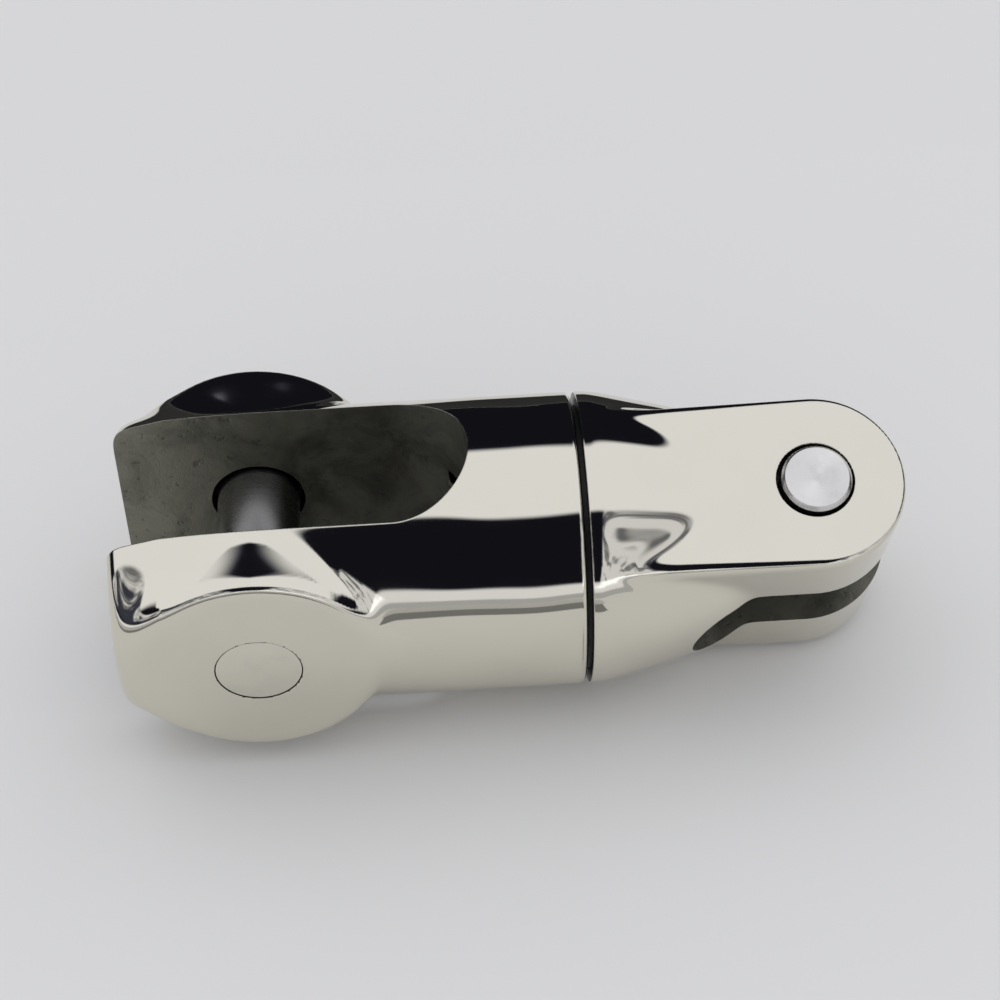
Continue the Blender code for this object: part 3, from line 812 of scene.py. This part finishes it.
class SWIVEL_OT_chain_fork(Operator):
    """Model the chain fork: narrowing root and two flat cheeks round the jaw"""
    bl_idname = "swivel.chain_fork"
    bl_label = "Chain fork"

    def field(self, points):
        s = self.sizes
        x, n, w = points[..., 0], points[..., 1], points[..., 2]
        run, ease = np.maximum(x - s.cone_start, 0.0), 2.5 * MM
        narrowing = s.cone_end - s.cone_start
        slope = (BARREL_RADIUS - s.cone_radius) * (narrowing + ease) / narrowing ** 2
        cone = BARREL_RADIUS - slope * run ** 2 / (run + ease)
        root = np.hypot(n, w) - cone
        root = soft_max(root, (x - s.root_end) * 0.8 + (np.hypot(n, w) - 16 * MM) * 0.5, 9 * MM)
        end = np.hypot(np.maximum(x - CHAIN_REACH, 0.0), w) - s.width / 2
        edge = s.edge_round * np.clip(1.9 - x / (40 * MM), 0.8, 1.6)
        slab = soft_max(end, np.abs(n) - s.thickness / 2, edge)
        reach = s.blend * np.clip((x - s.cone_start) / (6 * MM), 0.0, 1.0)
        return soft_min(root, slab, reach)

    def execute(self, context):
        s = self.sizes = context.scene.swivel_chain
        rim = context.scene.swivel_finish.rim
        stations = [(spot, 0.0) for spot in np.linspace(RIM_X + rim, CHAIN_REACH, 100)]
        stations += [(CHAIN_REACH, lean) for lean in np.linspace(0, math.pi / 2, 78)[1:]]
        corner = math.atan2(s.width, s.thickness)
        corners = (corner, math.pi - corner, math.pi + corner, -corner)
        around = crowd(388, corners, 0.10, 1.6)
        turn = np.array([ALONG_X, CHEEK_NORMAL, CHEEK_SIDE]).T
        points = body_of_rays(self.field, stations, turn, around, rim, RIM_X, 1)
        fork = wrapped("chain_fork_body", points)

        half, deep = s.slot_width / 2, BARREL_RADIUS + HOLE_OVERRUN
        centre = JOINT + ALONG_X * (s.wall + half)
        cut(fork, rod(half, centre - CHEEK_SIDE * deep, centre + CHEEK_SIDE * deep, 128))
        turned_by = Matrix((ALONG_X, CHEEK_NORMAL, -CHEEK_SIDE)).transposed().to_4x4()
        box = block(centre - Vector((0, half, deep)),
                    centre + Vector((CHAIN_TIP, half, deep)), turned_by, centre)
        cut(fork, box)

        pin = JOINT + ALONG_X * CHAIN_REACH
        out = s.thickness / 2 + HOLE_OVERRUN
        hole(fork, s.hole_radius, pin + CHEEK_NORMAL * out, pin, 0.1 * MM)
        hole(fork, s.thread_radius, pin - CHEEK_NORMAL * out, pin, 0.4 * MM)
        level = -(s.slot_width + s.thickness) / 4
        grub = pin + CHEEK_NORMAL * level
        hole(fork, context.scene.swivel_fasteners.grub + GRUB_PLAY,
             grub + CHEEK_SIDE * (s.width / 2 + HOLE_OVERRUN), grub, 0.2 * MM)
        back = JOINT - ALONG_X * HOLE_OVERRUN
        hole(fork, s.stud_hole, back, JOINT + ALONG_X * s.stud_depth)
        anchor = context.scene.swivel_anchor
        hole(fork, anchor.thrust_radius, back, JOINT + ALONG_X * anchor.thrust_depth)
        line = JOINT + ALONG_X * (middle("stud_lock_pin").x - JOINT.x)
        hole(fork, LOCK_HOLE_RADIUS, line + CHEEK_SIDE * (BARREL_RADIUS + HOLE_OVERRUN),
             line - CHEEK_SIDE * LOCK_HOLE_DEPTH)
        smooth(fork)
        skin_normals(fork, self.field, turn)

        normal, side = np.array(CHEEK_NORMAL), np.array(CHEEK_SIDE)

        def chooser(points):
            level = points @ normal
            local = np.stack([points[:, 0], level, points @ side], axis=-1)
            index = np.zeros(len(points))
            index[in_slot(local, s.wall, s.slot_width, 1)] = 1
            index[in_hole(local, CHAIN_REACH, s.hole_radius)
                  & (level > s.slot_width / 2 + PAST_JAW_WALL)] = 2
            index[in_hole(local, CHAIN_REACH, s.thread_radius)
                  & (level < -PAST_JAW_WALL - s.slot_width / 2)] = 2
            inner = np.hypot(points[:, 1], points[:, 2])
            index[(points[:, 0] < anchor.thrust_depth + ON_CUT)
                  & (inner < anchor.thrust_radius + ON_CUT)] = 2
            index[points[:, 0] < JOINT_FACE_DEPTH] = 2
            return index

        paint(fork, [polished_steel(), blasted_steel(), bored_steel()], chooser)
        hand_over(fork, "chain_side", "polished_steel", "chain_fork")
        return {"FINISHED"}


def thread(radius, pitch, low, high):
    """Outline points of thread ridges on the way down from high to low."""
    points = []
    depth = pitch * 0.32
    for k in range(int((high - low) / pitch)):
        top = high - k * pitch
        points += [(radius, top - pitch * 0.15), (radius - depth, top - pitch * 0.5),
                   (radius, top - pitch * 0.85)]
    return points


def screw_pin(name, radius, thread_radius, total, threaded, chamfer, flats, base, direction):
    """Pin with a chamfered plain tip, a ridged thread and a key socket."""
    pitch = bpy.context.scene.swivel_fasteners.pitch
    break_edge = 0.5 * MM
    shoulder = total - threaded
    profile = [(0.0, total), (thread_radius - break_edge * 1.4, total),
               (thread_radius - break_edge * 0.2, total - break_edge)]
    profile += thread(thread_radius, pitch, shoulder + break_edge, total - break_edge)
    profile += [(radius, shoulder), (radius, chamfer * 1.25), (radius - chamfer * 0.12, chamfer),
                (radius - chamfer, chamfer * 0.06), (radius - chamfer * 1.25, 0.0), (0.0, 0.0)]
    pin = turned(name, profile, base, direction)
    hexagon(pin, flats, base + direction * total, -direction, flats * KEY_DEPTH)
    smooth(pin, 24.0)
    return pin


class SWIVEL_OT_pins(Operator):
    """Model the anchor pin and the chain pin"""
    bl_idname = "swivel.pins"
    bl_label = "Pins"

    def execute(self, context):
        s = context.scene.swivel_fasteners
        low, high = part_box("anchor_pin")
        base = Vector((middle("anchor_pin").x, low.y, JOINT.z))
        pin = screw_pin("anchor_pin_turned", s.anchor_pin, s.anchor_thread, high.y - low.y,
                        s.anchor_thread_length, 0.10 * MM, ANCHOR_KEY, base, ALONG_Y)
        steel = context.scene.swivel_finish.steel
        finish = turned_steel("anchor_pin_steel", base, ALONG_Y, ALONG_X, 0.039, tuple(steel))
        cover(pin, finish)
        hand_over(pin, "anchor_pin", "turned_steel", "anchor_pin")

        chain = context.scene.swivel_chain
        proud, flush = 0.9 * MM, 0.3 * MM
        start = JOINT + ALONG_X * (CHAIN_REACH + s.lean) + CHEEK_SIDE * s.lean * 0.5
        start += CHEEK_NORMAL * (chain.thickness / 2 + proud)
        pin = screw_pin("chain_pin_turned", s.chain_pin, s.chain_thread,
                        chain.thickness + proud - flush, s.chain_thread_length, 0.55 * MM,
                        CHAIN_KEY, start, -CHEEK_NORMAL)
        finish = turned_steel("chain_pin_steel", start, CHEEK_NORMAL, ALONG_X, 0.029)
        cover(pin, finish)
        hand_over(pin, "chain_pin", "turned_steel", "chain_pin")
        return {"FINISHED"}


class SWIVEL_OT_stud(Operator):
    """Model the headed stud that joins the forks"""
    bl_idname = "swivel.stud"
    bl_label = "Stud"

    def execute(self, context):
        s = context.scene.swivel_fasteners
        low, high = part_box("swivel_stud")
        total, head, cut_edge = high.x - low.x, s.stud_head_length, 0.7 * MM
        ridges = thread(s.stud, s.pitch, 18 * MM, total - cut_edge)
        profile = [(0.0, total), (s.stud - cut_edge, total)] + ridges
        profile += [(s.stud, 17.5 * MM), (s.stud, head), (s.stud_head, head),
                    (s.stud_head, cut_edge), (s.stud_head - cut_edge * 0.3, cut_edge * 0.3),
                    (s.stud_head - cut_edge, 0.0), (0.0, 0.0)]
        base = Vector((low.x, 0.0, JOINT.z))
        stud = turned("swivel_stud_turned", profile, base, ALONG_X)
        hexagon(stud, STUD_KEY, base, ALONG_X, head * KEY_DEPTH)
        smooth(stud, 24.0)
        cover(stud, turned_steel("stud_steel", base, ALONG_X, ALONG_Y))
        hand_over(stud, "chain_side", "turned_steel", "swivel_stud")
        return {"FINISHED"}


class SWIVEL_OT_set_screws(Operator):
    """Model the two set screws that hold the pins"""
    bl_idname = "swivel.set_screws"
    bl_label = "Set screws"

    def screw(self, name, inner, outer, body, node):
        s = bpy.context.scene.swivel_fasteners
        long = (outer - inner).length
        edge = 0.35 * MM
        profile = [(0.0, long), (s.grub - edge, long)]
        profile += thread(s.grub, GRUB_PITCH, edge, long - edge)
        profile += [(s.grub - edge, 0.0), (0.0, 0.0)]
        direction = (outer - inner).normalized()
        made = turned(name, profile, inner, direction, 64)
        hexagon(made, GRUB_KEY, outer, -direction, 1.8 * MM)
        smooth(made, 24.0)
        cover(made, turned_steel(name + "_steel", inner, direction, ALONG_X))
        return hand_over(made, body, "turned_steel", node)

    def execute(self, context):
        low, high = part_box("anchor_pin_set_screw")
        spot = (low + high) / 2
        self.screw("anchor_set_screw_ridged", Vector((spot.x, spot.y, high.z)),
                   Vector((spot.x, spot.y, low.z)), "anchor_side", "anchor_pin_set_screw")
        chain = context.scene.swivel_chain
        level = -(chain.slot_width + chain.thickness) / 4
        line = JOINT + ALONG_X * CHAIN_REACH + CHEEK_NORMAL * level
        self.screw("chain_set_screw_ridged", line + CHEEK_SIDE * chain.thread_radius,
                   line + CHEEK_SIDE * (chain.width / 2 - 0.8 * MM), "chain_side",
                   "chain_pin_set_screw")
        return {"FINISHED"}


class SWIVEL_OT_bearing(Operator):
    """Finish the bush, the washers and the cross pin, which keep their plain shapes"""
    bl_idname = "swivel.bearing"
    bl_label = "Bearing pieces"

    def execute(self, context):
        pin_end, bronze = middle("stud_lock_pin"), bearing_bronze()
        finishes = {
            "stud_bush": bronze,
            "stud_head_washer": bronze,
            "joint_thrust_washer": black_acetal(),
            "stud_lock_pin": turned_steel("lock_pin_steel", pin_end, CHEEK_SIDE, ALONG_X),
        }
        for node, finish in finishes.items():
            cover(frame["nodes"][node], finish)
        return {"FINISHED"}


# Where each light in the studio fades in or out.  Across and along are a
# direction's slopes away from straight up, level is its height above the front
# horizon, and each pair is the start and the end of a fade.
CEILING_FRONT = (-0.50, -0.42)
CEILING_BACK = (0.60, 0.76)
CEILING_SIDES = (1.9, 2.5)
CORNER_HEIGHT = (0.12, 0.20)
RIGHT_CORNER = (0.34, 0.50)
LEFT_CORNER = (0.40, 0.60)
STRIP_BOTTOM = (0.07, 0.10)
STRIP_TOP = (0.22, 0.27)
DIFFUSE_SHARE = 0.45            # how much of the ceiling matte surfaces get

CARD_LEFT, CARD_HEIGHT = 2.0, 0.0002
CARDS = (("dark_card", -0.16, -0.36, 0.06, 0.20),
         ("grey_card", -0.36, -3.5, 0.10, 0.52),
         ("black_card", 0.125, 3.5, 2.0, 0.010))
TABLE_SIZE, TABLE_DROP = 8.0, 0.00002


def studio_world(stage):
    """Dark room with a wide light overhead and a low bright strip in front.

    Mirrors show the room. The backdrop and the soft fill are plain and pale.
    """
    world = bpy.data.worlds.new("studio")
    bpy.context.scene.world = world
    shader = Shader(world)
    way = shader.node("ShaderNodeTexCoord").outputs["Generated"]
    x, y, z = shader.split(way)
    height = z.math("MAXIMUM", 0.02)
    across, along = x / height, y / height
    sideways = across.math("ABSOLUTE")
    above = z.step(0.0, 0.05)
    clutter = shader.noise(way, 2.6, 2.0, 0.5, 2.2)
    spread = across.math("MAXIMUM", 0.0) * 0.42 + (-across).math("MAXIMUM", 0.0) * 0.50
    ceiling = along.step(*CEILING_FRONT) * (1 - (along - spread).step(*CEILING_BACK))
    ceiling = ceiling * (1 - sideways.step(*CEILING_SIDES)) * above
    front = 1 - along.step(*CEILING_FRONT)
    low = front * z.step(*CORNER_HEIGHT)
    right = across.step(*RIGHT_CORNER) * low * (clutter.step(0.38, 0.55) * 0.62 + 0.16)
    left = (-across).step(*LEFT_CORNER) * low * (clutter.step(0.40, 0.62) * 0.7 + 0.05)
    level = z / (y * y + z * z).math("SQRT")
    strip = level.step(*STRIP_BOTTOM) * (1 - level.step(*STRIP_TOP)) * (-y).step(0.0, 0.1)
    horizon = (1 - level.step(*STRIP_BOTTOM)) * (-y).step(-0.5, 0.1) * 0.45
    room = ceiling * stage.ceiling + strip * 0.85 + horizon + right + left + 0.010
    tone = shader.mix(room.step(0.0, 0.25), (0.75, 0.78, 1.25, 1.0), (1.0, 1.01, 1.075, 1.0))
    shown = shader.node("ShaderNodeBackground", None, tone, room)
    plain = shader.node("ShaderNodeBackground", None, rgba(stage.backdrop), 1.0)
    soft = shader.node("ShaderNodeBackground", None, (1.0, 1.0, 1.0, 1.0),
                       ceiling * stage.ceiling * DIFFUSE_SHARE + stage.fill)
    path = shader.node("ShaderNodeLightPath")
    lit = shader.node("ShaderNodeMixShader", None, path.outputs["Is Diffuse Ray"],
                      shown.outputs[0], soft.outputs[0])
    seen = shader.node("ShaderNodeMixShader", None, path.outputs["Is Camera Ray"],
                       lit.outputs[0], plain.outputs[0])
    shader.node("ShaderNodeOutputWorld", None, seen.outputs[0])


def add_card(name, near, far, right, tone):
    """Flat card on the table, from near to far along Y, that only mirrors show."""
    deselect()
    spot = ((right - CARD_LEFT) / 2, (near + far) / 2, CARD_HEIGHT)
    bpy.ops.mesh.primitive_plane_add(size=1.0, location=spot)
    card = bpy.context.object
    card.scale = (right + CARD_LEFT, abs(far - near), 1.0)
    settle(card)
    card.name = name
    tint = rgba((tone, tone, tone))
    cover(card, surfaced(name, Shader(material(name)), Roughness=0.8, Base_Color=tint))
    card.visible_camera = card.visible_diffuse = card.visible_shadow = False


def add_floor(stage):
    deselect()
    low = CAD_BOX[0].z
    bpy.ops.mesh.primitive_plane_add(size=TABLE_SIZE, location=(0, 0, low - TABLE_DROP))
    floor = settle(bpy.context.object)
    floor.name = "table"
    shader = Shader(material("table"))
    place = object_coordinates(shader)
    grain = shader.noise(place, 40.0, 3.0)
    tint = shader.mix(grain * 0.3, rgba(stage.floor), shades(stage.floor, 0.985))
    cover(floor, surfaced("table", shader, Base_Color=tint, Roughness=0.7,
                          Specular_IOR_Level=0.2))


def add_camera(stage):
    """Camera placed from the joint by its angles, distance and offset."""
    azimuth, elevation, roll = stage.azimuth, stage.elevation, stage.roll
    back = Vector((math.sin(azimuth) * math.cos(elevation),
                   -math.cos(azimuth) * math.cos(elevation), math.sin(elevation)))
    level = Vector((math.cos(azimuth), math.sin(azimuth), 0))
    upright = back.cross(level)
    right = level * math.cos(roll) + upright * math.sin(roll)
    up = upright * math.cos(roll) - level * math.sin(roll)
    spot = JOINT + back * stage.distance + right * stage.across + up * stage.above
    turn = Matrix((right, up, back)).transposed().to_4x4()
    deselect()
    bpy.ops.object.camera_add()
    camera = bpy.context.object
    camera.matrix_world = Matrix.Translation(spot) @ turn
    camera.data.sensor_width = 36.0
    camera.data.lens = stage.lens
    camera.data.shift_x, camera.data.shift_y = stage.shift_x, stage.shift_y
    camera.data.clip_start, camera.data.clip_end = 0.01, 20.0
    bpy.context.scene.camera = camera


class SWIVEL_OT_stage(Operator):
    """Set the table, the studio light and the camera"""
    bl_idname = "swivel.stage"
    bl_label = "Stage"

    def execute(self, context):
        stage = context.scene.swivel_stage
        context.scene.view_settings.view_transform = "Standard"
        add_floor(stage)
        for card in CARDS:
            add_card(*card)
        studio_world(stage)
        add_camera(stage)
        return {"FINISHED"}


class SWIVEL_PT_panel(Panel):
    """Lists the swivel's pieces in the 3D view's sidebar"""
    bl_idname = "SWIVEL_PT_panel"
    bl_label = "Anchor Swivel"
    bl_space_type = "VIEW_3D"
    bl_region_type = "UI"
    bl_category = "Swivel"

    def draw(self, context):
        for step in STEPS:
            self.layout.operator("swivel." + step)


STEPS = ("stage", "anchor_fork", "chain_fork", "pins", "stud", "set_screws", "bearing")
GROUPS = {
    "swivel_anchor": AnchorForkSizes,
    "swivel_chain": ChainForkSizes,
    "swivel_fasteners": FastenerSizes,
    "swivel_finish": FinishSettings,
    "swivel_stage": StageSettings,
}
OPERATORS = (SWIVEL_OT_stage, SWIVEL_OT_anchor_fork, SWIVEL_OT_chain_fork, SWIVEL_OT_pins,
             SWIVEL_OT_stud, SWIVEL_OT_set_screws, SWIVEL_OT_bearing, SWIVEL_PT_panel)


def register():
    for group in (*GROUPS.values(), *OPERATORS):
        bpy.utils.register_class(group)
    for name, group in GROUPS.items():
        setattr(bpy.types.Scene, name, PointerProperty(type=group))


def unregister():
    for name in GROUPS:
        delattr(bpy.types.Scene, name)
    for group in reversed((*GROUPS.values(), *OPERATORS)):
        bpy.utils.unregister_class(group)


def main():
    register()
    for step in STEPS:
        getattr(bpy.ops.swivel, step)()
    deselect()


if __name__ == "__main__":
    main()
